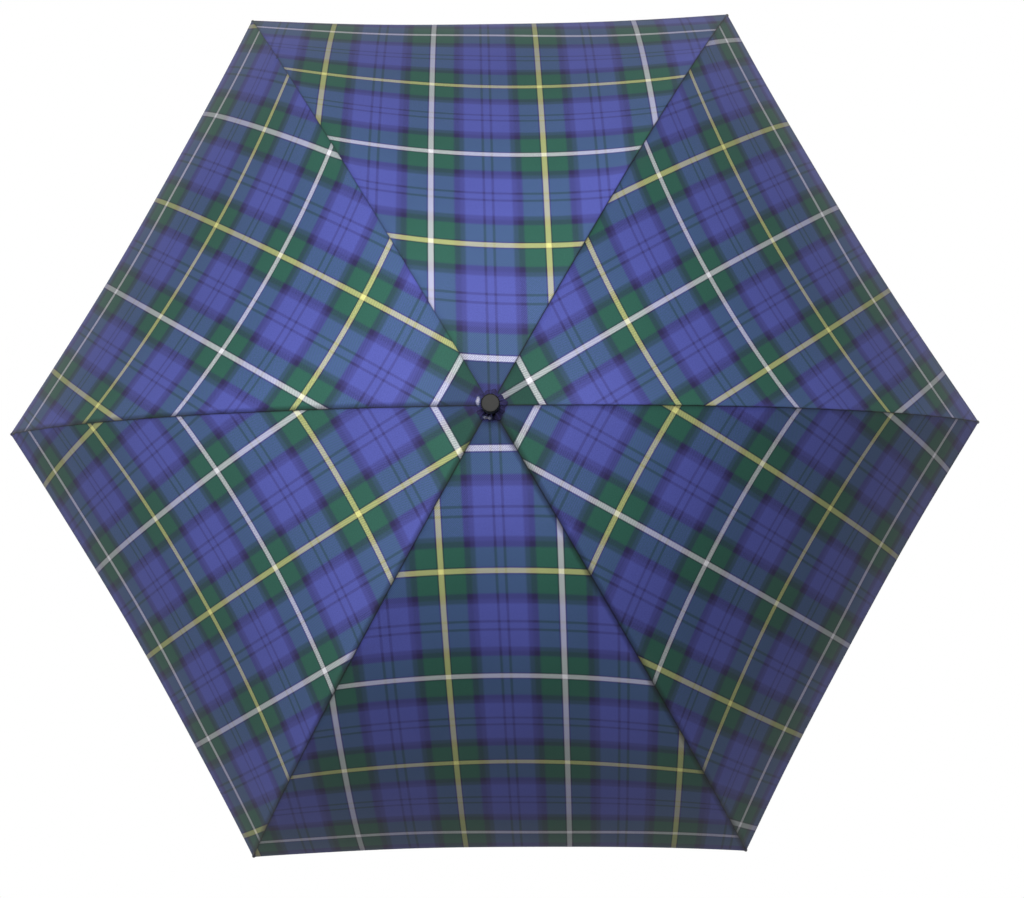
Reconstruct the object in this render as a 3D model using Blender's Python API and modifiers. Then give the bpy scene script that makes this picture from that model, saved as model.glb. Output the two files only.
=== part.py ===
"""Stick umbrella with six ribs, open, with its crook handle down.

The shaft stands on the Z axis and the crook's lowest point is at Z = 0.  Rib 1 points along +X and the
others follow every 60 degrees.  Every rib piece is built in its rib's own frame: X runs outwards from the
crown hinge, Y runs along the hinge and Z is up.
"""

import math

import bmesh
import bpy
from mathutils import Matrix, Vector

# ---- driving dimensions, in metres and degrees ----
RIBS = 6
CROWN_Z = 0.745            # height of the crown's hinge ring
RING_R = 0.010             # radius of the hinge rings in crown and runner
TIP_R = 0.482              # tip of a rib, from the shaft's axis
RIM_SLOPE = 54.0           # slope of a rib at its tip
ARM = 0.235                # crown hinge to stretcher rivet, and rivet to runner hinge
SHAFT_R = 0.0050
SHAFT_WALL = 0.0008
GAP = 0.0003               # gap kept between touching pieces
RUN = 0.0001               # radial play of a running fit
RIVET_R = 0.0009
WIRE_R = 0.0006
ROD_R = 0.00125
CLOTH = 0.0008             # thickness of the canopy's solids
CLOTH_LIFT = 0.0042        # canopy above the ribs' centre line
CLOTH_SAG = 0.0155         # how far a gore sinks between its ribs
CAP_R = 0.0078
CAP_H = 0.0180
GRIP_R = 0.0110
CROOK_R = 0.0450           # bend of the crook's centre line
CROOK_TOP = 0.168
RUNNER_LEN = 0.050

# ---- sizes that follow from them ----
BOW_R = (TIP_R - RING_R) / math.sin(math.radians(RIM_SLOPE))   # bend radius of a rib
RIB_LEN = BOW_R * math.radians(RIM_SLOPE)
RIVET_S = 2 * BOW_R * math.asin(ARM / (2 * BOW_R))             # rivet, along the rib
OPEN = RIVET_S / (2 * BOW_R)                                   # slope of crown hinge to rivet
RUNNER_Z = CROWN_Z - 2 * ARM * math.sin(OPEN)                  # runner's hinge ring, open
CLOSED_Z = CROWN_Z - 2 * ARM * math.sin(OPEN + math.radians(76.5))
MOUTH_S = RIB_LEN - 0.012                                      # where a tip's sleeve starts

for thing in list(bpy.data.objects):
    bpy.data.objects.remove(thing, do_unlink=True)

PARTS = bpy.data.collections.new("stick_umbrella")
GUIDES = bpy.data.collections.new("cutters")
for group in (PARTS, GUIDES):
    bpy.context.scene.collection.children.link(group)


# ---- helpers ----
def material(name, colour, roughness, metallic=0.0):
    mat = bpy.data.materials.new(name)
    mat.use_nodes = True
    shader = mat.node_tree.nodes["Principled BSDF"]
    shader.inputs["Base Color"].default_value = (*colour, 1.0)
    shader.inputs["Roughness"].default_value = roughness
    shader.inputs["Metallic"].default_value = metallic
    mat.diffuse_color = (*colour, 1.0)
    return mat


def adopt(obj, group):
    for old in list(obj.users_collection):
        old.objects.unlink(obj)
    group.objects.link(obj)
    return obj


def from_bmesh(name, bm):
    mesh = bpy.data.meshes.new(name)
    bm.to_mesh(mesh)
    bm.free()
    obj = bpy.data.objects.new(name, mesh)
    GUIDES.objects.link(obj)
    return obj


def box(low, high):
    bm = bmesh.new()
    bmesh.ops.create_cube(bm, size=1.0)
    low, high = Vector(low), Vector(high)
    size, middle = high - low, (high + low) / 2
    bmesh.ops.transform(bm, matrix=Matrix.Translation(middle) @ Matrix.Diagonal((*size, 1.0)), verts=bm.verts)
    return from_bmesh("box", bm)


def rod(start, end, radius, sides=10):
    bm = bmesh.new()
    start, end = Vector(start), Vector(end)
    way = end - start
    bmesh.ops.create_cone(bm, cap_ends=True, segments=sides, radius1=radius, radius2=radius, depth=way.length)
    turn = way.to_track_quat("Z", "Y").to_matrix().to_4x4()
    bmesh.ops.transform(bm, matrix=Matrix.Translation((start + end) / 2) @ turn, verts=bm.verts)
    return from_bmesh("rod", bm)


def turned(profile, steps=24, closed=False):
    """A profile of (radius, height) turned about Z.  It runs down the outer side first."""
    bm = bmesh.new()
    points = [bm.verts.new((r, 0.0, z)) for r, z in profile]
    for a, b in zip(points, points[1:]):
        bm.edges.new((a, b))
    if closed:
        bm.edges.new((points[-1], points[0]))
    obj = from_bmesh("turned", bm)
    screw = obj.modifiers.new("turn", "SCREW")
    screw.steps = screw.render_steps = steps
    screw.use_merge_vertices = True
    screw.merge_threshold = 0.00001
    return baked(obj)


def baked(obj):
    """The object as a plain mesh, its modifiers applied and loose caps welded."""
    bpy.context.view_layer.update()
    graph = bpy.context.evaluated_depsgraph_get()
    mesh = bpy.data.meshes.new_from_object(obj.evaluated_get(graph))
    bm = bmesh.new()
    bm.from_mesh(mesh)
    bmesh.ops.remove_doubles(bm, verts=bm.verts, dist=0.000005)
    bmesh.ops.recalc_face_normals(bm, faces=bm.faces)
    bm.to_mesh(mesh)
    bm.free()
    new = bpy.data.objects.new(obj.name, mesh)
    GUIDES.objects.link(new)
    new.matrix_world = obj.matrix_world.copy()
    bpy.data.objects.remove(obj, do_unlink=True)
    return new


def join(base, others, how):
    """Unite the others with the base, or cut them from it, one at a time."""
    for other in others:
        step = base.modifiers.new(how, "BOOLEAN")
        step.operation = how
        step.solver = "EXACT"
        step.object = other
        base = baked(base)
        bpy.data.objects.remove(other, do_unlink=True)
    return base


def slices(obj, start, end, count):
    """Cut edge loops across X, so that the mesh can bend."""
    bm = bmesh.new()
    bm.from_mesh(obj.data)
    for k in range(1, count):
        x = start + (end - start) * k / count
        everything = bm.verts[:] + bm.edges[:] + bm.faces[:]
        bmesh.ops.bisect_plane(bm, geom=everything, plane_co=(x, 0, 0), plane_no=(1, 0, 0))
    bm.to_mesh(obj.data)
    bm.free()


def on_rib(s, lift=0.0):
    """A point of the rib's centre line in the rib's frame, s along it and lift above it."""
    a = s / BOW_R
    return Vector(((BOW_R + lift) * math.sin(a), 0.0, (BOW_R + lift) * math.cos(a) - BOW_R))


def bend(obj, start):
    """Bend a straight mesh along the rib, its X = 0 going to arc length start, about that point."""
    base = on_rib(start)
    for v in obj.data.vertices:
        p = on_rib(start + v.co.x, v.co.z) - base
        v.co = (p.x, v.co.y, p.z)


def keep(obj, name, mat, parent=None, at=(0, 0, 0), turn=(0, 0, 0), smooth=35.0):
    """Name a finished piece, give it its material and put it in its place."""
    obj.name = name
    if obj.type == "MESH":
        obj.data.name = name
        if not obj.data.materials:
            obj.data.materials.append(mat)
        obj.data.shade_smooth()
        obj.data.set_sharp_from_angle(angle=math.radians(smooth))
    else:
        obj.data.materials.append(mat)
    adopt(obj, PARTS)
    obj.parent = parent
    obj.location = at
    obj.rotation_euler = turn
    return obj


def twin(obj, name, parent=None, at=None, turn=None):
    """Another piece of the same shape."""
    new = obj.copy()
    new.name = name
    new.parent = parent
    if at is not None:
        new.location = at
    if turn is not None:
        new.rotation_euler = turn
    PARTS.objects.link(new)
    return new


def wire_path(name, points, radius, resolution=2):
    data = bpy.data.curves.new(name, "CURVE")
    data.dimensions = "3D"
    data.bevel_depth = radius
    data.bevel_resolution = resolution
    data.use_fill_caps = True
    spline = data.splines.new("POLY")
    spline.points.add(len(points) - 1)
    for p, co in zip(spline.points, points):
        p.co = (*co, 1.0)
    obj = bpy.data.objects.new(name, data)
    GUIDES.objects.link(obj)
    return obj


def plate(outline, half):
    """A flat outline of (x, y) in the XY plane, thick by half each way."""
    data = bpy.data.curves.new("plate", "CURVE")
    data.dimensions = "2D"
    data.fill_mode = "BOTH"
    data.extrude = half
    spline = data.splines.new("POLY")
    spline.points.add(len(outline) - 1)
    for p, (x, y) in zip(spline.points, outline):
        p.co = (x, y, 0.0, 1.0)
    spline.use_cyclic_u = True
    obj = bpy.data.objects.new("plate", data)
    GUIDES.objects.link(obj)
    return baked(obj)


def lug(centre, root, radius, half, low, high):
    """A flat arm in the XZ plane between Y = low and high: an eye's disc at centre, then an arm to X = root."""
    side = 1 if root > centre else -1
    start = math.asin(half / radius)
    outline = [(root, -half)]
    for k in range(9):
        a = -start - (2 * math.pi - 2 * start) * k / 8
        outline.append((centre + side * radius * math.cos(a), radius * math.sin(a)))
    outline.append((root, half))
    piece = plate(outline, (high - low) / 2)
    piece.data.transform(Matrix.Translation((0, (low + high) / 2, 0)) @ Matrix.Rotation(math.pi / 2, 4, "X"))
    return piece


STEEL = material("black_steel", (0.035, 0.035, 0.04), 0.35, 0.8)
BRIGHT = material("bright_steel", (0.62, 0.62, 0.64), 0.25, 1.0)
BRASS = material("brass", (0.70, 0.52, 0.25), 0.3, 1.0)
PLASTIC = material("black_plastic", (0.025, 0.025, 0.028), 0.45)
WOOD = material("dark_wood", (0.16, 0.07, 0.03), 0.35)
FIBRE = material("glass_fibre", (0.06, 0.06, 0.065), 0.3)
TARTAN = material("tartan_cloth", (0.12, 0.14, 0.35), 0.85)


# ---- the shaft and what is fixed to it ----
def notched_ring(ring_z, top, bottom, opens_up):
    """The cuts for six arms and their hinge wire in a turned hub whose ring is at ring_z."""
    cuts = []
    for i in range(RIBS):
        low, high = (ring_z - 0.0030, top + 0.001) if opens_up else (bottom - 0.001, top + 0.001)
        cut = box((0.0073, -0.0012, low), (0.0150, 0.0012, high))
        cut.data.transform(Matrix.Rotation(math.radians(60 * i), 4, "Z"))
        cuts.append(cut)
    groove = [(0.0150, ring_z + 0.0009), (0.0150, ring_z - 0.0009), (0.0091, ring_z - 0.0009), (0.0091, ring_z + 0.0009)]
    cuts.append(turned(groove, 24, closed=True))
    return cuts


CATCH_REACH = 0.0350       # a catch's foot to its shoulder
CATCH_NOSE = 0.0076        # nose, from the shaft's axis
TOP_CATCH_Z = RUNNER_Z - RUNNER_LEN - 0.0004 - CATCH_REACH
LOW_CATCH_Z = CLOSED_Z - 0.0390 - 0.0265
top_of_shaft = CROWN_Z + 0.0210

tube = turned(
    [(SHAFT_R, top_of_shaft), (SHAFT_R, 0.137), (SHAFT_R - SHAFT_WALL, 0.137), (SHAFT_R - SHAFT_WALL, top_of_shaft)],
    closed=True,
)
nose_slots = [
    box((-0.0020, -0.0060, TOP_CATCH_Z + 0.0245), (0.0020, -0.0035, TOP_CATCH_Z + CATCH_REACH + 0.0015)),
    box((-0.0020, -0.0060, LOW_CATCH_Z + 0.0245), (0.0020, -0.0035, LOW_CATCH_Z + CATCH_REACH + 0.0025)),
]
CROWN_PIN_Z = CROWN_Z - 0.0037
STOP_PIN_Z = RUNNER_Z + 0.0058
pin_holes = [rod((0, -0.02, z), (0, 0.02, z), RIVET_R + GAP) for z in (CROWN_PIN_Z, STOP_PIN_Z)]
tube = join(tube, nose_slots + pin_holes, "DIFFERENCE")
shaft = keep(tube, "shaft_tube", BRIGHT)

top, low = CROWN_Z + 0.0028, CROWN_Z - 0.0060
crown = turned(
    [(0.0122, top), (0.0128, top - 0.0006), (0.0128, low + 0.0010), (0.0118, low), (SHAFT_R + GAP, low), (SHAFT_R + GAP, top)],
    closed=True,
)
crown = join(crown, notched_ring(CROWN_Z, top, low, False), "DIFFERENCE")
crown = join(crown, [rod((0, -0.02, CROWN_PIN_Z), (0, 0.02, CROWN_PIN_Z), RIVET_R + GAP)], "DIFFERENCE")
keep(crown, "crown_hub", PLASTIC, shaft)
keep(rod((0, -0.0125, CROWN_PIN_Z), (0, 0.0125, CROWN_PIN_Z), RIVET_R), "crown_pin", BRIGHT, shaft)
keep(rod((0, -0.0070, STOP_PIN_Z), (0, 0.0070, STOP_PIN_Z), RIVET_R), "runner_stop_pin", BRIGHT, shaft)


def ring_wire(name, parent, at):
    bpy.ops.mesh.primitive_torus_add(
        major_segments=30, minor_segments=6, major_radius=RING_R, minor_radius=WIRE_R, location=(0, 0, 0)
    )
    return keep(bpy.context.object, name, BRIGHT, parent, at)


ring_wire("crown_wire", shaft, (0, 0, CROWN_Z))

inside = SHAFT_R + GAP
keep(
    turned([(0.0145, 0.0034), (0.0145, 0.0031), (inside, 0.0031), (inside, 0.0034)], closed=True),
    "inner_washer", TARTAN, shaft, (0, 0, CROWN_Z),
)
keep(
    turned([(0.0060, 0.0080), (0.0100, 0.0077), (0.0132, 0.0061), (0.0134, 0.0054), (0.0128, 0.0050),
            (inside, 0.0050), (inside, 0.0080)], closed=True),
    "top_rosette", TARTAN, shaft, (0, 0, CROWN_Z),
)
base = 0.0083
cap = turned(
    [(0.0, base + CAP_H), (CAP_R - 0.0008, base + CAP_H), (CAP_R - 0.0002, base + CAP_H - 0.0004),
     (CAP_R, base + CAP_H - 0.0012), (CAP_R, base + 0.0005), (CAP_R - 0.0004, base), (inside, base),
     (inside, 0.0220), (0.0, 0.0220)],
)
keep(cap, "top_cap", PLASTIC, shaft, (0, 0, CROWN_Z))

# the crook: straight grip, half turn and a short leg back up
route = [(0, 0, CROOK_TOP), (0, 0, CROOK_TOP - 0.040), (0, 0, CROOK_TOP - 0.080)]
bend_z = GRIP_R + CROOK_R
for k in range(13):
    a = math.pi * k / 12
    route.append((0, -CROOK_R + CROOK_R * math.cos(a), bend_z - CROOK_R * math.sin(a)))
route.append((0, -2 * CROOK_R, bend_z + 0.030))
crook = baked(wire_path("crook", route, GRIP_R, 3))
crook = join(crook, [rod((0, 0, 0.1365), (0, 0, 0.18), SHAFT_R + GAP, 24)], "DIFFERENCE")
keep(crook, "crook_handle", WOOD, shaft)
collar = turned(
    [(0.0060, 0.0175), (0.0075, 0.0168), (0.0082, 0.0150), (0.0110, 0.0035), (0.0116, 0.0020), (0.0116, 0.0),
     (inside, 0.0), (inside, 0.0175)],
    closed=True,
)
keep(collar, "handle_collar", BRASS, shaft, (0, 0, CROOK_TOP + GAP))
end_cap = turned(
    [(0.0, 0.0070), (0.0040, 0.0066), (0.0080, 0.0050), (0.0106, 0.0026), (0.0112, 0.0), (0.0, 0.0)], 20
)
keep(end_cap, "handle_end_cap", BRASS, shaft, (0, -2 * CROOK_R, bend_z + 0.030 + GAP))


# ---- catches: leaf springs inside the tube, each with a nose through its slot ----
def catch(name, foot_z, holds_up):
    """The outline is drawn outwards and upwards from the foot.  The shoulder is above or below the nose."""
    back, face = 0.0032, 0.0038
    if holds_up:
        nose = [(face, 0.0255), (CATCH_NOSE, 0.0330), (CATCH_NOSE, CATCH_REACH), (face, CATCH_REACH)]
    else:
        nose = [(face, 0.0265), (CATCH_NOSE, 0.0265), (CATCH_NOSE, 0.0285), (face, 0.0360)]
    outline = [(back, 0.0), (face, 0.0)] + nose + [(face, 0.0380), (back, 0.0380)]
    piece = plate(outline, 0.0016)
    piece.data.transform(Matrix(((0, 0, -1, 0), (-1, 0, 0, 0), (0, 1, 0, 0), (0, 0, 0, 1))))
    piece.data.transform(Matrix.Translation((0, face, 0)))
    return keep(piece, name, BRIGHT, shaft, (0, -face, foot_z))


catch("top_catch", TOP_CATCH_Z, True)
catch("bottom_catch", LOW_CATCH_Z, False)


# ---- one rib, bent, with an eye at the crown and open flanges below ----
def rib_shape():
    end = RIVET_S + 0.0016
    rib = box((0.0120, -0.0016, -0.0013), (end, 0.0016, 0.0013))
    rib = join(rib, [lug(0.0, 0.0140, 0.0022, 0.0011, -0.0009, 0.0009)], "UNION")
    rib = join(
        rib,
        [
            box((0.0160, -0.0011, -0.0020), (end + 0.002, 0.0011, 0.0008)),
            rod((0, -0.005, 0), (0, 0.005, 0), WIRE_R + GAP, 8),
            rod((RIVET_S, -0.005, 0), (RIVET_S, 0.005, 0), RIVET_R + RUN),
        ],
        "DIFFERENCE",
    )
    slices(rib, 0.0160, RIVET_S - 0.003, 9)
    bend(rib, 0.0)
    return rib


def connector_shape():
    """A clevis at the stretcher rivet, with a barrel that grips the outer rod."""
    barrel = rod((0.0070, 0, 0), (0.0240, 0, 0), 0.0022, 12)
    block = box((0.0060, -0.0025, -0.0019), (0.0090, 0.0025, 0.0019))
    pieces = [block]
    for side in (-1, 1):
        inner, outer = sorted((side * 0.0019, side * 0.0026))
        pieces.append(lug(0.0, 0.0080, 0.0018, 0.0017, inner, outer))
    piece = join(barrel, pieces, "UNION")
    piece = join(
        piece,
        [
            rod((0.0120, 0, 0), (0.0250, 0, 0), ROD_R + GAP),
            rod((0, -0.005, 0), (0, 0.005, 0), RIVET_R + RUN),
        ],
        "DIFFERENCE",
    )
    bend(piece, RIVET_S)
    return piece


def rod_shape():
    start, end = RIVET_S + 0.0124, MOUTH_S + 0.0085
    base = on_rib(RIVET_S)
    points = [on_rib(start + (end - start) * k / 12) - base for k in range(13)]
    return baked(wire_path("rod", points, ROD_R, 1))


def tip_shape():
    bore = ROD_R + GAP
    return turned(
        [(0.0, 0.0140), (0.0009, 0.0138), (0.0015, 0.0132), (0.0018, 0.0120), (0.0022, 0.0), (bore, 0.0),
         (bore, 0.0092), (0.0, 0.0092)],
        12,
    )


def stretcher_shape():
    """Straight along X from the rivet at 0 to the runner's wire at ARM, with a fork at the rivet."""
    bar = box((0.0230, -0.0015, -0.0012), (ARM - 0.0090, 0.0015, 0.0012))
    pieces = [
        box((0.0200, -0.0035, -0.0013), (0.0260, 0.0035, 0.0013)),
        lug(ARM, ARM - 0.0110, 0.0021, 0.0010, -0.0008, 0.0008),
    ]
    for side in (-1, 1):
        inner, outer = sorted((side * 0.0029, side * 0.0036))
        pieces.append(lug(0.0, 0.0220, 0.0017, 0.0015, inner, outer))
    bar = join(bar, pieces, "UNION")
    return join(
        bar,
        [
            box((0.0280, -0.0010, -0.0020), (ARM - 0.0140, 0.0010, 0.0007)),
            rod((ARM, -0.005, 0), (ARM, 0.005, 0), WIRE_R + GAP, 8),
            rod((0, -0.005, 0), (0, 0.005, 0), RIVET_R + RUN),
        ],
        "DIFFERENCE",
    )


def rivet_shape():
    profile = [(0.0, 0.0045), (0.0015, 0.0041), (0.0015, 0.0039), (RIVET_R, 0.0039)]
    return turned(profile + [(r, -z) for r, z in reversed(profile)], 10)


# ---- the canopy ----
def sag(share):
    """How far the middle of a gore sinks at this share of the way to the hem."""
    rise = math.sin(min(share / 0.66, 1.0) * math.pi / 2) ** 1.2
    ease = 0.5 - 0.5 * math.cos(math.pi * max(0.0, (share - 0.66) / 0.34))
    return CLOTH_SAG * (rise - 0.55 * ease)


def gore_point(s, t, lift):
    """A point of the gore beside rib 1, t from -1 at that rib to 1 at the next, in rib 1's frame."""
    a = s / BOW_R
    r = RING_R + (BOW_R + lift) * math.sin(a)
    z = (BOW_R + lift) * math.cos(a) - BOW_R
    half = math.pi / RIBS
    slope = math.atan2(math.sin(a), math.cos(a) * math.cos(half))
    out = r * math.cos(half)
    side = r * math.sin(half) * t
    drop = sag(max(s, 0.0) / RIB_LEN) * (1 - t * t)
    out -= drop * math.sin(slope)
    z -= drop * math.cos(slope)
    return Vector((
        out * math.cos(half) - side * math.sin(half) - RING_R,
        out * math.sin(half) + side * math.cos(half),
        z,
    ))


def gore_shape():
    first, last = -0.0030, RIB_LEN - 0.0035
    bpy.ops.mesh.primitive_grid_add(x_subdivisions=15, y_subdivisions=6, size=2, location=(0, 0, 0))
    sheet = bpy.context.object
    for v in sheet.data.vertices:
        s = first + (last - first) * ((v.co.x + 1) / 2) ** 1.4
        r = RING_R + BOW_R * math.sin(s / BOW_R)
        t = v.co.y * (1 - GAP / (r * math.sin(math.pi / RIBS)))
        v.co = gore_point(s, t, CLOTH_LIFT)
    solid = sheet.modifiers.new("thickness", "SOLIDIFY")
    solid.thickness = CLOTH
    solid.offset = 0.0
    return baked(sheet)


def strap_shape():
    """A short tie strap that lies under the middle of the gore, from its hem inwards."""
    bpy.ops.mesh.primitive_grid_add(x_subdivisions=6, y_subdivisions=2, size=2, location=(0, 0, 0))
    strap = bpy.context.object
    for v in strap.data.vertices:
        s = RIB_LEN - 0.0100 - 0.1300 * (v.co.x + 1) / 2
        r = RING_R + BOW_R * math.sin(s / BOW_R)
        v.co = gore_point(s, v.co.y * 0.0110 / (r * 0.5), CLOTH_LIFT - 0.0040)
    solid = strap.modifiers.new("thickness", "SOLIDIFY")
    solid.thickness = 0.0012
    solid.offset = 0.0
    return baked(strap)


first = {
    "rib": keep(rib_shape(), "rib_1", STEEL),
    "rivet": keep(rivet_shape(), "stretcher_rivet_1", BRIGHT),
    "connector": keep(connector_shape(), "rib_connector_1", STEEL),
    "rod": keep(rod_shape(), "rib_rod_1", FIBRE),
    "tip": keep(tip_shape(), "rib_tip_1", PLASTIC),
    "stretcher": keep(stretcher_shape(), "stretcher_1", STEEL),
    "gore": keep(gore_shape(), "canopy_gore_1", TARTAN),
}
rivet_at = on_rib(RIVET_S)
mouth_at = on_rib(MOUTH_S) - rivet_at
mouth_slope = MOUTH_S / BOW_R
for i in range(RIBS):
    n = i + 1
    turn = math.radians(60 * i)
    at = (RING_R * math.cos(turn), RING_R * math.sin(turn), CROWN_Z)
    pieces = {}
    for key, piece in first.items():
        if i:
            piece = twin(piece, piece.name.replace("_1", f"_{n}"))
        pieces[key] = piece
    rib = pieces["rib"]
    rib.location, rib.rotation_euler = at, (0, 0, turn)
    rib.parent = shaft
    for key in ("rivet", "connector", "stretcher", "gore"):
        pieces[key].parent = rib
    pieces["rivet"].location, pieces["rivet"].rotation_euler = rivet_at, (math.pi / 2, 0, 0)
    pieces["connector"].location = rivet_at
    pieces["stretcher"].location = rivet_at
    pieces["stretcher"].rotation_euler = (0, math.pi - OPEN, 0)
    pieces["rod"].parent = pieces["connector"]
    pieces["tip"].parent = pieces["connector"]
    pieces["tip"].location = mouth_at
    pieces["tip"].rotation_euler = (0, math.pi / 2 + mouth_slope, 0)
    if n == 1:
        stretcher_1 = pieces["stretcher"]
    if n == 5:
        strap = keep(strap_shape(), "tie_strap", TARTAN, rib)
        s = RIB_LEN - 0.0100 - 0.1150
        low, high = gore_point(s, 0, CLOTH_LIFT - 0.0040), gore_point(s, 0, CLOTH_LIFT - 0.0030)
        inward = (low - high).normalized()
        snap = rod(low + inward * 0.0012, low + inward * 0.0034, 0.0050, 16)
        keep(snap, "strap_snap", BRASS, rib)

# ---- the runner, whose frame is the first stretcher's lower hinge ----
top, low = 0.0040, -0.0045
runner = turned(
    [(0.0122, top), (0.0128, top - 0.0006), (0.0128, low + 0.0010), (0.0118, low), (0.0080, -0.0075),
     (0.0078, 0.0080 - RUNNER_LEN), (0.0096, 0.0045 - RUNNER_LEN), (0.0096, 0.0010 - RUNNER_LEN),
     (0.0090, -RUNNER_LEN), (SHAFT_R + RUN, -RUNNER_LEN), (SHAFT_R + RUN, top)],
    closed=True,
)
window = box((-0.0022, -0.0110, -0.0395), (0.0022, -0.0030, -0.0275))
runner = join(runner, notched_ring(0.0, top, low, True) + [window], "DIFFERENCE")
runner.data.transform(Matrix.Translation((-RING_R, 0, 0)))
hinge = bpy.data.objects.new("runner_pivot", None)
PARTS.objects.link(hinge)
hinge.parent = stretcher_1
hinge.location = (ARM, 0, 0)
hinge.rotation_euler = (0, OPEN - math.pi, 0)
keep(runner, "runner", PLASTIC, hinge)
ring_wire("runner_wire", hinge, (-RING_R, 0, 0))

for leftover in list(GUIDES.objects):
    leftover.hide_render = True
    leftover.display_type = "WIRE"
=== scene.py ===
"""Visual model of the six-ribbed stick umbrella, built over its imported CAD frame.

Metres, +Z up, the shaft on the Z axis.  Rib 1 points along +X and the others follow every 60 degrees.
Gore 1 lies between ribs 1 and 2.  A place on a gore is (s, t): s is the length along the ribs from the
crown's hinge ring, and t runs from -1 at the gore's first rib to 1 at its next.
"""

import math

import bpy
import numpy as np
from mathutils import Matrix, Vector


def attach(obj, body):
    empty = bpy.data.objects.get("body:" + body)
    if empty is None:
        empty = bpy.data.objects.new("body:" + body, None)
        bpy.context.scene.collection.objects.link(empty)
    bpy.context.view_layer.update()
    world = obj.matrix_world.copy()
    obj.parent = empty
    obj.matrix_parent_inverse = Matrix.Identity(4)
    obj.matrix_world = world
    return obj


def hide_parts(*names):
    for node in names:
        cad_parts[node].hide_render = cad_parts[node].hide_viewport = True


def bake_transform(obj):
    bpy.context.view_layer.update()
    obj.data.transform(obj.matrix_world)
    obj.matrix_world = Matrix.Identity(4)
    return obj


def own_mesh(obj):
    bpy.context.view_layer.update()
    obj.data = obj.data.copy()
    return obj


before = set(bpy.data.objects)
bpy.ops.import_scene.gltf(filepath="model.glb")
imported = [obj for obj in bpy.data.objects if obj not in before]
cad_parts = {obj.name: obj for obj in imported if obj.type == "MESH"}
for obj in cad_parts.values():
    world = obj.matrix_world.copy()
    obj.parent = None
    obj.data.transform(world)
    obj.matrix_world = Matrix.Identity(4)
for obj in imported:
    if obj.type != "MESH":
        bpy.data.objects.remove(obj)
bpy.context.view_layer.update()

# ---- sizes shared with part.py ----
RIBS = 6
HALF = math.pi / RIBS       # half of a gore's angle
CROWN_Z = 0.745
RING_R = 0.010
TIP_R = 0.482
ARM = 0.235                 # straight distance from the hinge ring to the joint of rib and rod
BOW_ANGLE = math.radians(54.0)
BOW_R = (TIP_R - RING_R) / math.sin(BOW_ANGLE)
RIB_LEN = BOW_R * BOW_ANGLE
RIVET_S = 2 * BOW_R * math.asin(ARM / (2 * BOW_R))

# ---- the cloth's shape ----
LIFT = 0.0024               # cloth above the ribs' centre line
CROWN_LIFT = 0.0020         # more above the crown's hub and washer
JOINT_LIFT = 0.0015         # and over the ribs' joints
SAG = 0.0155                # how far the cloth hangs in at the middle of a gore
FULL_SAG = 0.66             # where it does so most, as a share of the ribs' length
HEM = 0.0070                # width of the hem

# ---- how the canopy is divided: along the ribs, and at the middle of each gore ----
FIRST, LAST = -0.0020, RIB_LEN - 0.0030
CUTS = (FIRST, 0.026, 0.100, 0.165, RIVET_S, 0.400, LAST)
ROWS = (6, 11, 9, 9, 17, 17)
COLUMNS = 19
PACKED = (0.55, 0.36, 0.21, 0.14, 0.135, 0.115)     # how narrow each piece folds up
LAST_PART = len(PACKED) - 1
HAND = {1: "left", -1: "right"}                     # the side of a rib that lies ahead of it, or behind

# ---- the check: white and yellow lines by turns, in both directions ----
FIRST_LINE, LINE_GAP = 0.0401, 0.1054       # lines along the hem: the first one from the apex, the spacing
CROSS_GAP = 0.0995                          # usual spacing of the lines that run outwards
CUT_AT = (          # each gore's white line that runs outwards: its place at the hem, its lean, the spacing
    (0.0153, 0.0290, 0.0978),
    (0.0562, 0.0175, 0.1005),
    (0.0655, -0.0120, 0.0995),
    (-0.0792, 0.0015, 0.0990),
    (0.0685, 0.0310, 0.1010),
    (-0.0169, 0.0240, 0.0998),
)
SHIFTED = (         # how far out each gore's lines along the hem lie: offset, stretch, slant, more at the hem
    (0.0000, -0.022, 0.040, 0.0),
    (0.0005, 0.000, 0.065, 0.0),
    (0.0020, 0.000, 0.010, 0.0),
    (0.0025, -0.008, 0.020, 0.0),
    (-0.0040, 0.000, 0.000, 0.014),
    (-0.0048, -0.004, -0.020, 0.0),
)


def smooth(x):
    x = np.clip(x, 0.0, 1.0)
    return x * x * (3 - 2 * x)


def sag(share):
    """How far the middle of a gore hangs in: most at FULL_SAG, and the tight hem takes over half back."""
    share = np.clip(share, 0.0, 1.0)
    rise = np.sin(np.minimum(share / FULL_SAG, 1.0) * math.pi / 2) ** 1.2
    ease = 0.5 - 0.5 * np.cos(math.pi * np.maximum(0.0, (share - FULL_SAG) / (1 - FULL_SAG)))
    return SAG * (rise - 0.55 * ease)


def bow(s, lift=LIFT):
    """Radius, height and slope of the ribs' line, lifted."""
    a = s / BOW_R
    return RING_R + (BOW_R + lift) * np.sin(a), CROWN_Z + (BOW_R + lift) * np.cos(a) - BOW_R, a


def half_width(s):
    """From the middle of a gore to its seam."""
    return (RING_R + BOW_R * np.sin(s / BOW_R)) * math.sin(HALF)


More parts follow.
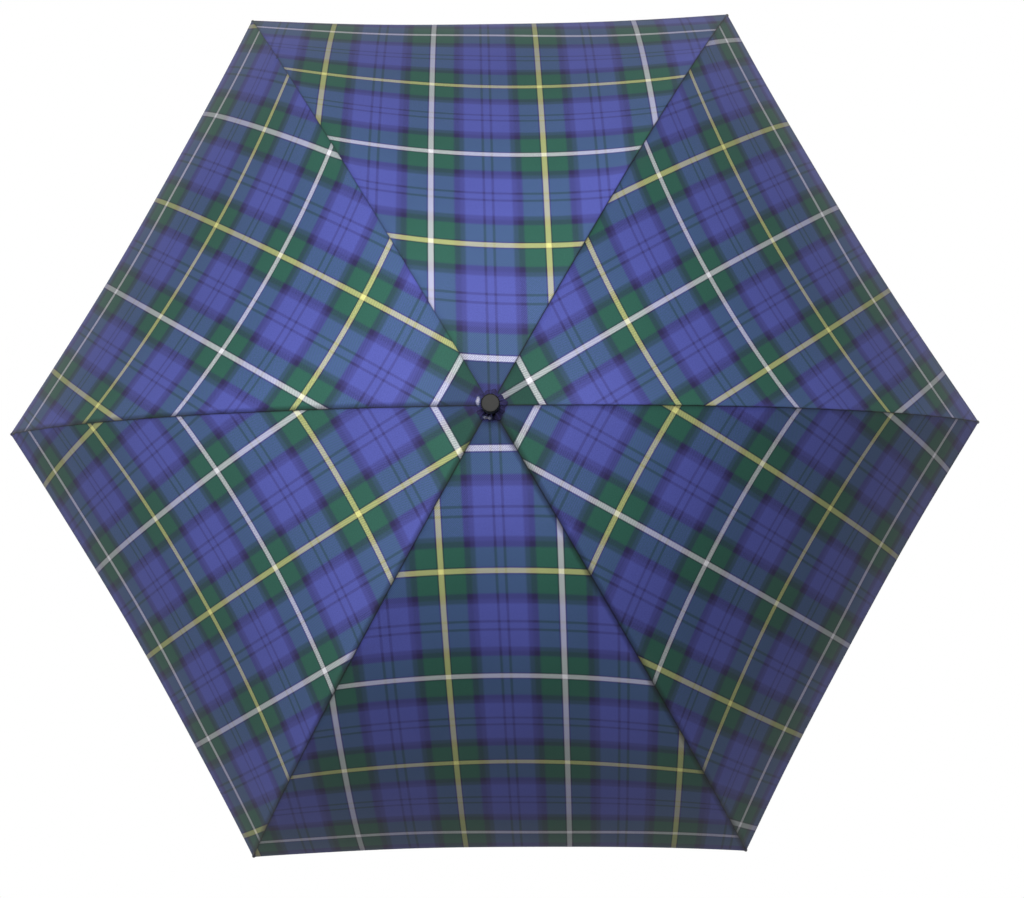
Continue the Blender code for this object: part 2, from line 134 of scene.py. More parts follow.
def cloth(gore, s, t, below=0.0):
    """Points of a gore's surface, or of one that lies below it by so much."""
    s, t = np.broadcast_arrays(np.asarray(s, float), np.asarray(t, float))
    lift = LIFT + CROWN_LIFT * (1 - smooth((s - 0.012) / 0.035)) - below
    # each rib's joint pushes the cloth up a little
    seam = half_width(s) * (1 - np.abs(t))
    joint = smooth((s - RIVET_S + 0.018) / 0.012) * smooth((RIVET_S + 0.036 - s) / 0.014)
    lift = lift + JOINT_LIFT * joint * np.exp(-((seam / 0.0085) ** 2))
    r, z, a = bow(s, lift)
    slope = np.arctan2(np.sin(a), np.cos(a) * math.cos(HALF))
    drop = sag(s / RIB_LEN) * (1 - t * t)
    # the seam's stitches pull the cloth into small puckers
    reach = np.exp(-seam / 0.0065) * smooth((s - 0.02) / 0.05)
    drop = drop + reach * (0.00022 * np.sin(s / 0.0027 + gore) + 0.00016 * np.sin(s / 0.0071 + 2.3 * gore))
    # and the cloth between hem and ribs isn't quite even
    waves = np.sin(5.0 * t + 1.7 * gore) * np.sin(s / 0.045)
    drop = drop + 0.0009 * (1 - t * t) * smooth((s - 0.3) / 0.2) * waves
    out = r * math.cos(HALF) - drop * np.sin(slope)
    side = r * math.sin(HALF) * t
    z = z - drop * np.cos(slope)
    turn = HALF + 2 * HALF * gore
    x = out * math.cos(turn) - side * math.sin(turn)
    y = out * math.sin(turn) + side * math.cos(turn)
    return np.stack([x, y, z], -1)


def normals(gore, s, t, below=0.0):
    """The surface's outward normals, the same on both sides of a cut."""
    e = 1e-5
    along = cloth(gore, s + e, t, below) - cloth(gore, s - e, t, below)
    t = np.asarray(t, float)
    high, low = np.minimum(t + 1e-3, 1.0), np.maximum(t - 1e-3, -1.0)
    across = cloth(gore, s, high, below) - cloth(gore, s, low, below)
    n = np.cross(along, across)
    return n / np.linalg.norm(n, axis=-1, keepdims=True)


# distance from the apex down a gore's middle, for places along its ribs
PLACES = np.linspace(-0.012, RIB_LEN + 0.002, 1200)
LINE_R, LINE_Z, _ = bow(PLACES)
DOWN = np.concatenate([[0.0], np.cumsum(np.hypot(math.cos(HALF) * np.diff(LINE_R), np.diff(LINE_Z)))])
DOWN += RING_R * math.cos(HALF) - np.interp(0.0, PLACES, DOWN)
HEM_V = float(np.interp(RIB_LEN, PLACES, DOWN))


def check_uv(gore, s, t):
    """Where a place lies on the printed check: whole numbers are lines, even ones white."""
    v = np.interp(s, PLACES, DOWN) + 0.0011 * (1 - smooth(s / 0.09))
    u = half_width(s) * t
    at, lean, gap = CUT_AT[gore]
    offset, stretch, slant, more = SHIFTED[gore]
    shift = offset + stretch * v + slant * u + more * (v / HEM_V) ** 4
    return np.stack([(u - at - lean * (v - HEM_V)) / gap, (v - shift - FIRST_LINE) / LINE_GAP], -1)


# ---- materials ----
def linear(c):
    return c / 12.92 if c <= 0.04045 else ((c + 0.055) / 1.055) ** 2.4


def srgb(*rgb):
    return tuple(linear(c / 255) for c in rgb) + (1.0,)


def cool_grey(level):
    return level, level, level * 1.04


class Tree:
    """A material's node tree, with short ways to add and link nodes."""

    def __init__(self, name, **values):
        self.mat = bpy.data.materials.new(name)
        self.mat.use_nodes = True
        self.nodes, self.links = self.mat.node_tree.nodes, self.mat.node_tree.links
        self.shader = self.nodes["Principled BSDF"]
        for key, value in values.items():
            self.shader.inputs[key.replace("_", " ")].default_value = value

    def add(self, kind, *inputs, out=0, **settings):
        node = self.nodes.new(kind)
        for key, value in settings.items():
            setattr(node, key, value)
        for k, value in enumerate(inputs):
            self.put(value, node.inputs[k])
        return node.outputs[out]

    def put(self, value, socket):
        if value is None:
            return
        if isinstance(value, bpy.types.NodeSocket):
            self.links.new(value, socket)
        else:
            socket.default_value = value

    def colour(self, value):
        self.put(value, self.shader.inputs["Base Color"])

    def roughness(self, value):
        self.put(value, self.shader.inputs["Roughness"])

    def math(self, how, *inputs, clamp=False):
        return self.add("ShaderNodeMath", *inputs, operation=how, use_clamp=clamp)

    def mix(self, share, a, b, how="MIX"):
        node = self.nodes.new("ShaderNodeMix")
        node.data_type, node.blend_type = "RGBA", how
        for key, value in ((0, share), (6, a), (7, b)):
            self.put(value, node.inputs[key])
        return node.outputs[2]

    def times(self, a, b):
        return self.mix(1.0, a, b, "MULTIPLY")

    def ramp(self, share, stops):
        node = self.nodes.new("ShaderNodeValToRGB")
        elements = node.color_ramp.elements
        while len(elements) < len(stops):
            elements.new(1.0)
        for element, (place, colour) in zip(elements, stops):
            element.position = place
            element.color = colour if len(colour) == 4 else (*colour, 1.0)
        self.put(share, node.inputs[0])
        return node.outputs[0]

    def noise(self, scale, where=None, detail=3.0, rough=0.55, stretch=None):
        where = where or self.add("ShaderNodeTexCoord", out=3)
        if stretch:
            where = self.add("ShaderNodeMapping", where, None, None, stretch)
        node = self.nodes.new("ShaderNodeTexNoise")
        self.put(where, node.inputs["Vector"])
        node.inputs["Scale"].default_value = scale
        node.inputs["Detail"].default_value = detail
        node.inputs["Roughness"].default_value = rough
        return node.outputs[0]

    def bump(self, height, strength, distance):
        node = self.nodes.new("ShaderNodeBump")
        node.inputs["Strength"].default_value = strength
        node.inputs["Distance"].default_value = distance
        self.put(height, node.inputs["Height"])
        self.put(node.outputs[0], self.shader.inputs["Normal"])

    def between(self, value, low, high):
        """Spread a 0..1 value over low..high."""
        node = self.nodes.new("ShaderNodeMapRange")
        for k, number in enumerate((0.0, 1.0, low, high)):
            node.inputs[k + 1].default_value = number
        self.put(value, node.inputs[0])
        return node.outputs[0]


BLUE = srgb(87, 94, 176)
GREEN = srgb(47, 100, 84)
DARK = srgb(48, 44, 88)
DUSK = srgb(64, 62, 124)
INK = srgb(34, 32, 60)
WHITE = srgb(248, 248, 248)
YELLOW = srgb(236, 235, 146)


def sett():
    """The colours met from a white line to the next yellow one, as shares of the spacing."""
    half = [(0.0, "line"), (0.0215, "line"), (0.0245, INK), (0.0320, INK), (0.0370, GREEN), (0.193, GREEN),
            (0.212, DARK), (0.244, DARK), (0.264, DUSK), (0.284, DUSK), (0.304, BLUE), (0.446, BLUE),
            (0.454, DUSK), (0.468, DUSK), (0.476, BLUE)]
    stops = [(at, WHITE if colour == "line" else colour) for at, colour in half]
    stops += [(1 - at, YELLOW if colour == "line" else colour) for at, colour in reversed(half)]
    return stops


def painted_seam_shade(crisp, soft):
    """Painted shade beside a seam: a crisp dark line in its crease times a softer shade; 1.0 is 10 mm away."""
    at = (0.0, 0.35, 0.8, 1.7, 2.4, 3.2, 4.0, 4.8, 6.0, 9.0)
    line = np.interp(at, (0.0, 0.35, 0.8, 1.7, 3.0), (0.10, 0.18, 0.68, 0.92, 1.0))
    side = np.interp(at, (0.0, 1.6, 2.4, 3.2, 4.0, 4.8, 6.0), (0.42, 0.46, 0.52, 0.61, 0.72, 0.85, 1.0))
    grey = (1 - crisp * (1 - line)) * (1 - soft * (1 - side))
    return [(mm / 10, (g, g, min(1.0, g * 1.04))) for mm, g in zip(at, grey)]


# how dark the cloth is at the hem's edge and along its line of stitches; 1.0 is 20 mm in
HEM_SHADE = [(at, cool_grey(level)) for at, level in (
    (0.0, 0.30), (0.03, 0.55), (0.06, 0.92), (0.26, 0.95), (0.285, 0.62), (0.31, 0.95), (0.36, 1.0))]


def cloth_material(name, shade=1.0, seams=None):
    """Twill with the check woven in: each point mixes the colours of the two thread systems that cross."""
    m = Tree(name, Roughness=0.72, Specular_IOR_Level=0.28, Sheen_Weight=0.12, Sheen_Roughness=0.45)
    weave = m.add("ShaderNodeUVMap", uv_map="weave")
    x, y = (m.add("ShaderNodeSeparateXYZ", weave, out=k) for k in (0, 1))
    warp, weft = (m.ramp(m.math("PINGPONG", c, 1.0), sett()) for c in (x, y))
    # a two-and-two twill, whose fine diagonals let one system or the other come up
    threads = 2 * math.pi * 0.1 / 0.0013
    diagonal = m.math("SINE", m.math("MULTIPLY", m.math("ADD", x, y), threads * 0.7))
    ribbing = m.math("SINE", m.math("MULTIPLY", x, threads * 2.6))
    speck = m.noise(900.0, weave, 2.0, 0.7, (0.1, 0.1, 0.1))
    up = m.math("ADD", m.between(speck, 0.30, 0.70), m.math("MULTIPLY", diagonal, 0.17), clamp=True)
    specks = m.ramp(speck, [(0.25, (0.84, 0.84, 0.86)), (0.75, (1.14, 1.14, 1.13))])
    colour = m.times(m.mix(up, warp, weft), specks)
    if seams:
        edge = m.add("ShaderNodeUVMap", uv_map="seam")
        seam, hem = (m.add("ShaderNodeSeparateXYZ", edge, out=k) for k in (0, 1))
        # painted shade: a dark line along each seam and a softer shade beside it
        seam_painted_shade = m.ramp(m.math("MULTIPLY", seam, 100.0), painted_seam_shade(*seams))
        rim = m.ramp(m.math("MULTIPLY", hem, 50.0), HEM_SHADE)
        colour = m.times(m.times(colour, seam_painted_shade), rim)
        # inside the innermost white line the cloth is darker
        inside = m.math("LESS_THAN", y, -0.028)
        colour = m.mix(inside, colour, m.times(colour, (0.60, 0.62, 0.64, 1.0)))
    patches = m.ramp(m.noise(14.0, None, 2.0), [(0.3, (0.95 * shade,) * 3), (0.7, (1.04 * shade,) * 3)])
    m.colour(m.times(colour, patches))
    m.bump(m.math("ADD", m.math("MULTIPLY", diagonal, 0.5), m.math("MULTIPLY", ribbing, 0.25)), 0.12, 0.00025)
    return m.mat


def painted_steel():
    m = Tree("black_steel", Metallic=0.35, Specular_IOR_Level=0.5)
    wear = m.noise(260.0, detail=5.0)
    m.colour(m.ramp(wear, [(0.0, srgb(26, 26, 28)), (0.62, srgb(38, 38, 41)), (0.78, srgb(78, 78, 80))]))
    m.roughness(m.between(wear, 0.26, 0.50))
    m.bump(m.noise(1500.0), 0.10, 0.0001)
    return m.mat


def bright_steel():
    m = Tree("bright_steel", Metallic=1.0)
    streak = m.noise(900.0, detail=4.0, stretch=(1.0, 1.0, 0.04))
    m.colour(m.ramp(streak, [(0.3, srgb(176, 177, 180)), (0.7, srgb(205, 206, 208))]))
    m.roughness(m.between(streak, 0.16, 0.34))
    m.bump(streak, 0.06, 0.0001)
    return m.mat


def brass():
    m = Tree("brass", Metallic=1.0)
    tarnish = m.noise(120.0, detail=5.0)
    m.colour(m.ramp(tarnish, [(0.3, srgb(150, 118, 62)), (0.7, srgb(200, 166, 98))]))
    m.roughness(m.between(tarnish, 0.20, 0.42))
    m.bump(m.noise(700.0), 0.06, 0.0001)
    return m.mat


def plastic(name, colour, light):
    m = Tree(name, Specular_IOR_Level=0.45)
    grain = m.noise(700.0, detail=4.0)
    m.colour(m.ramp(grain, [(0.3, colour), (0.7, light)]))
    m.roughness(m.between(grain, 0.42, 0.60))
    m.bump(grain, 0.12, 0.0002)
    return m.mat


def cap_plastic():
    """The cap's plastic: lighter grey on top, and darkened as painted shade from 6.6 mm out, where its side
    begins.
    """
    m = Tree("cap_plastic", Specular_IOR_Level=0.3)
    spot = m.add("ShaderNodeTexCoord", out=3)
    grain = m.noise(900.0, spot, 4.0)
    flat = m.nodes.new("ShaderNodeVectorMath")
    flat.operation = "LENGTH"
    m.put(m.add("ShaderNodeMapping", spot, None, None, (1.0, 1.0, 0.0)), flat.inputs[0])
    # painted shade on the cap's rim and side, from 6.6 mm out
    top = m.ramp(m.math("MULTIPLY", flat.outputs[1], 100.0), [
        (0.0, srgb(36, 36, 34)), (0.62, srgb(33, 33, 31)), (0.665, srgb(12, 12, 13)), (1.0, srgb(9, 9, 10))])
    m.colour(m.times(top, m.ramp(grain, [(0.3, (0.88, 0.88, 0.88)), (0.7, (1.08, 1.08, 1.08))])))
    m.roughness(m.between(grain, 0.45, 0.62))
    m.bump(grain, 0.12, 0.0002)
    return m.mat


def wood():
    m = Tree("dark_wood", Coat_Weight=0.12, Coat_Roughness=0.25, Specular_IOR_Level=0.35)
    spot = m.add("ShaderNodeTexCoord", out=3)
    rings = m.noise(38.0, spot, 6.0, 0.6, (2.2, 2.2, 0.35))
    pores = m.noise(420.0, spot, 3.0, 0.5, (1.0, 1.0, 0.06))
    base = m.ramp(rings, [
        (0.25, srgb(66, 28, 11)), (0.45, srgb(110, 54, 22)), (0.55, srgb(86, 40, 16)),
        (0.75, srgb(138, 74, 31))])
    m.colour(m.times(base, m.ramp(pores, [(0.42, (0.45, 0.42, 0.40)), (0.52, (1.0, 1.0, 1.0))])))
    m.roughness(m.between(pores, 0.46, 0.30))
    m.bump(pores, 0.10, 0.0002)
    return m.mat


def fibre():
    m = Tree("glass_fibre", Specular_IOR_Level=0.5)
    strand = m.noise(1600.0, detail=2.0)
    m.colour(m.ramp(strand, [(0.3, srgb(30, 31, 33)), (0.7, srgb(58, 60, 62))]))
    m.roughness(m.between(strand, 0.24, 0.40))
    m.bump(strand, 0.08, 0.0001)
    return m.mat


def thread_material():
    m = Tree("navy_thread", Roughness=0.7, Sheen_Weight=0.2)
    twist = m.noise(2600.0, detail=2.0)
    m.colour(m.ramp(twist, [(0.3, srgb(22, 22, 40)), (0.7, srgb(52, 52, 84))]))
    m.bump(twist, 0.3, 0.0002)
    return m.mat


# each rib's seam: how strong its painted dark line is, and the soft painted shade behind it (clockwise) and
# ahead of it
SEAM_SHADE_STRENGTHS = (
    (0.88, 0.35, 0.0),
    (0.90, 0.25, 0.05),
    (0.50, 0.20, 0.10),
    (0.85, 1.0, 0.05),
    (0.85, 1.0, 0.20),
    (0.80, 1.0, 0.85),
)


def tartan(rib, side):
    line, behind, ahead = SEAM_SHADE_STRENGTHS[rib]
    return cloth_material(f"tartan_{HAND[side]}_{rib + 1}", seams=(line, ahead if side > 0 else behind))


# a copy of the cloth for each side of each rib, with that seam's painted shade
TARTAN = {(rib, side): tartan(rib, side) for rib in range(RIBS) for side in HAND}
# the cloth for pieces under the canopy, darkened by a fifth as painted shade
UNDER = cloth_material("tartan_underside", shade=0.8)
THREAD = thread_material()
CAP = cap_plastic()
LOOKS = {
    "tartan_cloth": UNDER,
    "black_steel": painted_steel(),
    "bright_steel": bright_steel(),
    "brass": brass(),
    "black_plastic": plastic("black_plastic", srgb(24, 24, 26), srgb(36, 36, 38)),
    "dark_wood": wood(),
    "glass_fibre": fibre(),
}


# ---- helpers for pieces ----
def link(obj):
    bpy.context.scene.collection.objects.link(obj)
    return obj


def mesh_piece(name, points, faces, mat, weave=None, seam=None, normal=None):
    mesh = bpy.data.meshes.new(name)
    mesh.from_pydata([tuple(p) for p in points], [], [tuple(f) for f in faces])
    corner = np.empty(len(mesh.loops), int)
    mesh.loops.foreach_get("vertex_index", corner)
    for title, values in (("weave", weave), ("seam", seam)):
        if values is not None:
            layer = mesh.uv_layers.new(name=title)
            layer.data.foreach_set("uv", np.asarray(values, float)[corner].ravel())
    mesh.materials.append(mat)
    mesh.shade_smooth()
    if normal is not None:
        mesh.normals_split_custom_set_from_vertices([tuple(n) for n in normal])
    mesh.validate()
    return link(bpy.data.objects.new(name, mesh))


def grid_faces(rows, columns, flip=False):
    faces = []
    for i in range(rows - 1):
        for j in range(columns - 1):
            a = i * columns + j
            quad = (a, a + 1, a + columns + 1, a + columns)
            faces.append(quad[::-1] if flip else quad)
    return faces


def ring_faces(rings, steps):
    """Faces between rings that close on themselves, from the inner ring outwards."""
    faces = []
    for i in range(rings - 1):
        for j in range(steps):
            a, b = i * steps + j, i * steps + (j + 1) % steps
            faces.append((a, a + steps, b + steps, b))
    return faces


def thicken(obj, thickness, offset):
    solid = obj.modifiers.new("thickness", "SOLIDIFY")
    solid.thickness = thickness
    solid.offset = offset


def flat_size(grid):
    """Width, length and area of a grid of points, as if it lay flat."""
    wide = np.linalg.norm(np.diff(grid, axis=1), axis=-1).sum(axis=1).max()
    long = np.linalg.norm(np.diff(grid[:, 0], axis=0), axis=-1).sum()
    a, b, c, d = grid[:-1, :-1], grid[:-1, 1:], grid[1:, 1:], grid[1:, :-1]
    area = sum(np.linalg.norm(np.cross(p, q), axis=-1).sum() / 2 for p, q in ((b - a, c - a), (c - a, d - a)))
    return float(wide), float(long), float(area)


def rib_axes(rib):
    """A rib's directions: outwards, and on towards the next rib."""
    turn = 2 * HALF * rib
    return Vector((math.cos(turn), math.sin(turn), 0)), Vector((-math.sin(turn), math.cos(turn), 0))


def on_rib(rib, s, lift=0.0):
    """A point on a rib's centre line, or so far above it."""
    radial, _ = rib_axes(rib)
    r, z, _ = bow(s, lift)
    return radial * float(r) + Vector((0, 0, float(z)))


def gather(obj):
    """Gives a piece its own copy of its mesh."""
    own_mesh(obj)


# ---- the canopy ----
def half_gore(rib, side, part):
    """The cloth from a rib to the middle of the gore beside it, from one cut to the next."""
    gore = rib if side > 0 else (rib - 1) % RIBS
    low, high = CUTS[part], CUTS[part + 1]
    s = np.linspace(low, high, ROWS[part])
    if part == LAST_PART:
        s = np.unique(np.round(np.concatenate([s[:-1], [high - HEM, high - 0.0012, high]]), 7))
    # columns lie closer together beside the seam
    t = -side * (1 - np.linspace(0.0, 1.0, COLUMNS) ** 1.5)
    S, T = np.meshgrid(s, t, indexing="ij")
    points, normal = cloth(gore, S, T), normals(gore, S, T)
    weave = check_uv(gore, S, T)
    seam = np.stack([half_width(S) * (1 - np.abs(T)), LAST - S], -1)
    if part == LAST_PART:
        # the hem is turned under and lies 0.5 mm below the cloth, free of the edge's shade
        back = np.array([0.0004, 0.0012, 0.0040, HEM - 0.0004])
        S, T = np.meshgrid(high - back, t, indexing="ij")
        deep = np.array([0.0003, 0.0005, 0.0005, 0.0004])[:, None] + 0 * S
        points = np.concatenate([points, cloth(gore, S, T, deep)])
        normal = np.concatenate([normal, -normals(gore, S, T)])
        weave = np.concatenate([weave, check_uv(gore, 2 * high - S, T)])
        seam = np.concatenate([seam, np.stack([half_width(S) * (1 - np.abs(T)), 0.012 + 0 * S], -1)])
    name = f"canopy_{HAND[side]}_{rib + 1}_{part + 1}"
    faces = grid_faces(len(points), COLUMNS, flip=side > 0)
    weave, seam = weave.reshape(-1, 2), seam.reshape(-1, 2)
    obj = mesh_piece(name, points.reshape(-1, 3), faces, TARTAN[rib, side], weave, seam, normal.reshape(-1, 3))
    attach(obj, f"rib_{rib + 1}" if high <= RIVET_S else f"rod_{rib + 1}")
    gather(obj)
    wide, long, area = flat_size(points)
    flat = (round(wide, 3), round(long, 3))
    area = round(min(area, 0.999 * flat[0] * flat[1]), 5)
    return obj


for rib in range(RIBS):
    for side in HAND:
        for part in range(LAST_PART + 1):
            half_gore(rib, side, part)
for rib in range(RIBS):
    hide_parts(f"canopy_gore_{rib + 1}")


def seam_tape(rib):
    """The seam's allowance, a strip of doubled cloth between the canopy and its rib."""
    s = np.linspace(0.020, LAST - 0.004, 70)
    w = np.array([-0.0058, -0.0052, -0.0020, 0.0, 0.0020, 0.0052, 0.0058])
    below, ridge = 0.00055, 0.0002
    points, uv = [], []
    for k in s:
        for x in w:
            gore = rib if x >= 0 else (rib - 1) % RIBS
            t = (-1 if x >= 0 else 1) + x / half_width(k)
            points.append(cloth(gore, k, np.clip(t, -1.0, 1.0), below + ridge * (x == 0)))
            uv.append(((x + 0.031 + 0.011 * rib) / CROSS_GAP, (k - FIRST_LINE) / LINE_GAP))
    obj = mesh_piece(f"seam_allowance_{rib + 1}", points, grid_faces(len(s), len(w)), UNDER, uv)
    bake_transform(obj)


for rib in range(RIBS):
    seam_tape(rib)


def thread_path(name, points, radius):
    data = bpy.data.curves.new(name, "CURVE")
    data.dimensions = "3D"
    data.bevel_depth = radius
    data.bevel_resolution = 1
    data.use_fill_caps = True
    spline = data.splines.new("POLY")
    spline.points.add(len(points) - 1)
    for p, co in zip(spline.points, points):
        p.co = (*co, 1.0)
    data.materials.append(THREAD)
    return link(bpy.data.objects.new(name, data))


def rib_tie(rib, s, number, body):
    """A few turns of thread that tie the seam to its rib."""
    turns, steps, pitch = 4, 12, 0.00062
    radial, tangent = rib_axes(rib)
    a = s / BOW_R
    along = radial * math.cos(a) - Vector((0, 0, math.sin(a)))
    outward = radial * math.sin(a) + Vector((0, 0, math.cos(a)))
    wide, high, low = (0.0021, 0.0019, 0.0017) if body.startswith("rib") else (0.0018, 0.0019, 0.0016)
    points = []
    for k in range(turns * steps + 1):
        q = 2 * math.pi * k / steps
        height = (high if math.sin(q) > 0 else low) * math.sin(q)
        turn = tangent * (wide * math.cos(q)) + outward * height
        points.append(on_rib(rib, s) + turn + along * (pitch * k / steps - 0.0012))
    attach(thread_path(f"rib_tie_{rib + 1}_{number}", points, 0.00030), body)


for rib in range(RIBS):
    rib_tie(rib, 0.122, 1, f"rib_{rib + 1}")
    rib_tie(rib, 0.322, 2, f"rod_{rib + 1}")
    rib_tie(rib, 0.430, 3, f"rod_{rib + 1}")


# ---- the crown ----
# where the rosette's folds show the white line: the angle, the radius, the half length and width, a slant
WHITE_BITS = ((2.80, 0.0115, 0.0030, 0.0018, 0.5), (4.44, 0.0112, 0.0030, 0.0013, 0.4))


def white_bit(q, r):
    """How near a place on the rosette is to one of its white bits, in half widths."""
    near = []
    for at, out, long, wide, slant in WHITE_BITS:
        turn = (q - at + math.pi) % (2 * math.pi) - math.pi
        near.append(math.hypot(turn * r / long + slant * (r - out) / 0.002, (r - out) / wide))
    return min(near)


def rosette():
    """A gathered round of cloth under the cap, with a neck of two rings down to the crown."""
    rings, steps, inner = 22, 288, 0.0062
    neck = (0.0034, 0.0052)
    points, uv = [], []
    for i in range(rings):
        share = max(0.0, (i - len(neck)) / (rings - len(neck) - 1))
        for j in range(steps):
            q = 2 * math.pi * j / steps
            pleat = 0.5 + 0.5 * math.sin(13 * q + 0.9 * math.sin(3 * q) + 2.2 * share)
            fine = 0.5 + 0.5 * math.sin(29 * q + 1.4 * math.sin(2 * q))
            reach = 0.0128 + 0.0009 * math.sin(5 * q + 0.6) + 0.0007 * math.sin(11 * q)
            r = inner + (reach - inner) * share
            swell = math.sin(math.pi * min(1.0, 0.18 + share * 0.86)) ** 0.7
            folds = (0.0010 + 0.0018 * pleat + 0.0004 * fine) * (1 - 0.25 * share)
            z = neck[i] if i < len(neck) else 0.0056 - 0.0005 * share ** 2 + swell * folds
            points.append((r * math.cos(q), r * math.sin(q), CROWN_Z + z))
            # its folds show the check's dark bands, but for the white bits
            near = white_bit(q, r)
            uv.append((0.0225 * near, 0.36) if near < 1.35 else (0.232 + 0.03 * pleat, 0.225 + 0.04 * fine))
    # the rosette's cloth is darkened all over as painted shade
    look = cloth_material("rosette_cloth", shade=0.74)
    obj = mesh_piece("gathered_rosette", points, ring_faces(rings, steps), look, uv)
    thicken(obj, 0.0004, -1.0)
    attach(obj, "shaft")
    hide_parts("top_rosette")


rosette()


def crown_patch():
    """The round patch under the crown of the cloth, with a rim that turns up."""
    rings, steps, inner, outer = 5, 96, 0.0056, 0.0143
    points, uv = [], []
    for i in range(rings):
        for j in range(steps):
            q = 2 * math.pi * j / steps
            r = inner + (outer - inner) * i / (rings - 1)
            z = 0.00318 + 0.00006 * math.sin(24 * q) * i / rings + 0.0008 * max(0.0, (i - 2) / 2) ** 2
            points.append((r * math.cos(q), r * math.sin(q), CROWN_Z + z))
            uv.append((r * math.cos(q) / CROSS_GAP + 0.35, r * math.sin(q) / LINE_GAP + 0.4))
    obj = mesh_piece("crown_patch", points, ring_faces(rings, steps), UNDER, uv)
    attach(obj, "shaft")
    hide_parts("inner_washer")


crown_patch()

# ---- the strap that ties the closed canopy ----
STRAP_GORE = 4              # counted from 0, so this is gore 5
STRAP_LEN = 0.1290
STUD_AT = 0.1250            # the stud's distance from the ribs' ends


def press_stud():
    """The press stud near the strap's free end: a turned cap with a rolled rim."""
    s = RIB_LEN - STUD_AT
    at = Vector(cloth(STRAP_GORE, s, 0.0))
    way = (-Vector(normals(STRAP_GORE, np.array(s), np.array(0.0)))).to_track_quat("Z", "Y")
    tip, *profile = [(0.0, 0.0068), (0.0022, 0.0067), (0.0036, 0.0062), (0.0041, 0.0056), (0.0047, 0.0058),
                     (0.0050, 0.0052), (0.0049, 0.0044), (0.0044, 0.0040)]
    steps = 32
    points, faces = [], []
    for r, height in profile:
        for j in range(steps):
            q = 2 * math.pi * j / steps
            points.append(at + way @ Vector((r * math.cos(q), r * math.sin(q), height)))
    for i in range(len(profile) - 1):
        for j in range(steps):
            a, b = i * steps + j, i * steps + (j + 1) % steps
            faces.append((a, b, b + steps, a + steps))
    points.append(at + way @ Vector((0, 0, tip[1])))
    faces += [(len(points) - 1, (j + 1) % steps, j) for j in range(steps)]
    stud = mesh_piece("press_stud", points, faces, LOOKS["brass"])
    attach(stud, "rod_5")
    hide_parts("strap_snap")
    gather(stud)
    return stud


def tie_strap():
    """The strap, hanging under its gore from the hem inwards, with a stitched edge and a rounded end."""
    rows = 40
    w = np.array([-0.0105, -0.0100, -0.0085, -0.0040, 0.0, 0.0040, 0.0085, 0.0100, 0.0105])
    rise = np.array([0.0003, 0.0006, 0.0003, 0.0004, 0.0004, 0.0004, 0.0003, 0.0006, 0.0003])
    points, uv = [], []
    for k in np.linspace(0.0, 1.0, rows):
        s = RIB_LEN - 0.0105 - STRAP_LEN * k
        round_end = math.sqrt(max(0.0, 1 - max(0.0, (k - 0.93) / 0.07) ** 2))
        for x, up in zip(w * max(round_end, 0.15), rise):
            points.append(cloth(STRAP_GORE, s, x / half_width(s), 0.0024 + up + 0.0004 * math.sin(9 * k)))
            uv.append(((x + 0.047) / CROSS_GAP, s / LINE_GAP))
    obj = mesh_piece("tie_strap_cloth", points, grid_faces(rows, len(w)), UNDER, uv)
    thicken(obj, 0.0009, 0.0)
    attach(obj, "rod_5")
    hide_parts("tie_strap")
    gather(obj)
    press_stud()


tie_strap()

# ---- every CAD node that still shows gets its own finish ----
for name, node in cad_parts.items():
    own = node.data.materials[0].name.split(".")[0]
    for slot in node.material_slots:
        slot.material = CAP if name == "top_cap" else LOOKS[own]


# ---- floor, light and camera ----
def studio_floor():
    """A white sheet that glows upwards and can't be seen from below."""
    m = Tree("studio_floor")
    m.nodes.remove(m.shader)
    glow = m.add("ShaderNodeEmission", (1, 1, 1, 1), 1.0)
    clear = m.add("ShaderNodeBsdfTransparent")
    backfacing = m.nodes.new("ShaderNodeNewGeometry").outputs["Backfacing"]
    one_sided = m.add("ShaderNodeMixShader", backfacing, glow, clear)
    m.put(one_sided, m.nodes["Material Output"].inputs[0])
    floor = bpy.data.objects.new("floor", bpy.data.meshes.new("floor"))
    corners = [(x, y, -0.002) for x, y in ((-8, -8), (8, -8), (8, 8), (-8, 8))]
    floor.data.from_pydata(corners, [], [(0, 1, 2, 3)])
    floor.data.materials.append(m.mat)
    link(floor)


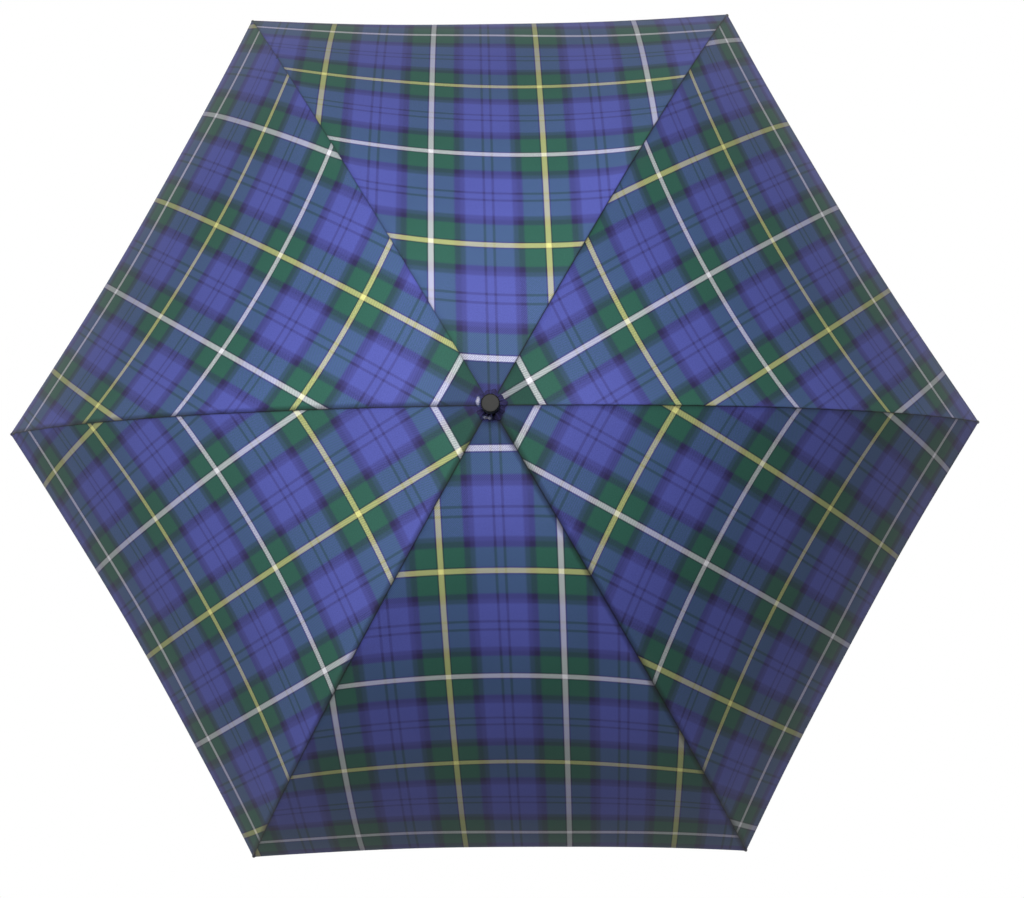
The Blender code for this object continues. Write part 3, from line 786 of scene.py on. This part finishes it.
def studio_world():
    """White to look at, but only a faint light."""
    world = bpy.data.worlds.new("studio")
    bpy.context.scene.world = world
    world.use_nodes = True
    nodes, links = world.node_tree.nodes, world.node_tree.links
    back, seen = nodes["Background"], nodes.new("ShaderNodeBackground")
    for node, strength in ((back, 0.012), (seen, 1.0)):
        node.inputs[0].default_value = (1, 1, 1, 1)
        node.inputs[1].default_value = strength
    path, pick = nodes.new("ShaderNodeLightPath"), nodes.new("ShaderNodeMixShader")
    links.new(path.outputs["Is Camera Ray"], pick.inputs[0])
    links.new(back.outputs[0], pick.inputs[1])
    links.new(seen.outputs[0], pick.inputs[2])
    links.new(pick.outputs[0], nodes["World Output"].inputs[0])


def softbox(name, at, aim, size, watts):
    data = bpy.data.lights.new(name, "AREA")
    data.shape = "SQUARE"
    data.size = size
    data.energy = watts
    obj = link(bpy.data.objects.new(name, data))
    obj.location = at
    obj.rotation_mode = "QUATERNION"
    obj.rotation_quaternion = (Vector(aim) - Vector(at)).to_track_quat("-Z", "Y")


def photo_camera():
    """Straight down on the crown, from 1.2 m."""
    distance = 1.2
    aside = (-0.0176, 0.0359)       # the crown's place beside the view's axis
    tilts = ((-0.0631, "X"), (-0.0014, "Y"), (0.0126, "Z"))
    look = Matrix.Identity(3)
    for angle, axis in tilts:
        look = look @ Matrix.Rotation(angle, 3, axis)
    camera = link(bpy.data.objects.new("camera", bpy.data.cameras.new("camera")))
    camera.data.sensor_width = 36.0
    camera.data.lens = 50.7
    camera.data.clip_start, camera.data.clip_end = 0.05, 40.0
    camera.rotation_mode = "QUATERNION"
    camera.rotation_quaternion = look.transposed().to_quaternion()
    beside = look.transposed() @ Vector((-aside[0], -aside[1], distance))
    camera.location = beside + Vector((0, 0, CROWN_Z))
    bpy.context.scene.camera = camera


studio_floor()
studio_world()
softbox("key", (0.0, 0.30, 1.495), (0, 0.3, 0.645), 0.34, 6.85)
softbox("side", (-0.45, -0.15, 1.095), (0, 0, 0.70), 0.24, 1.03)
photo_camera()
bpy.context.scene.view_settings.view_transform = "Standard"
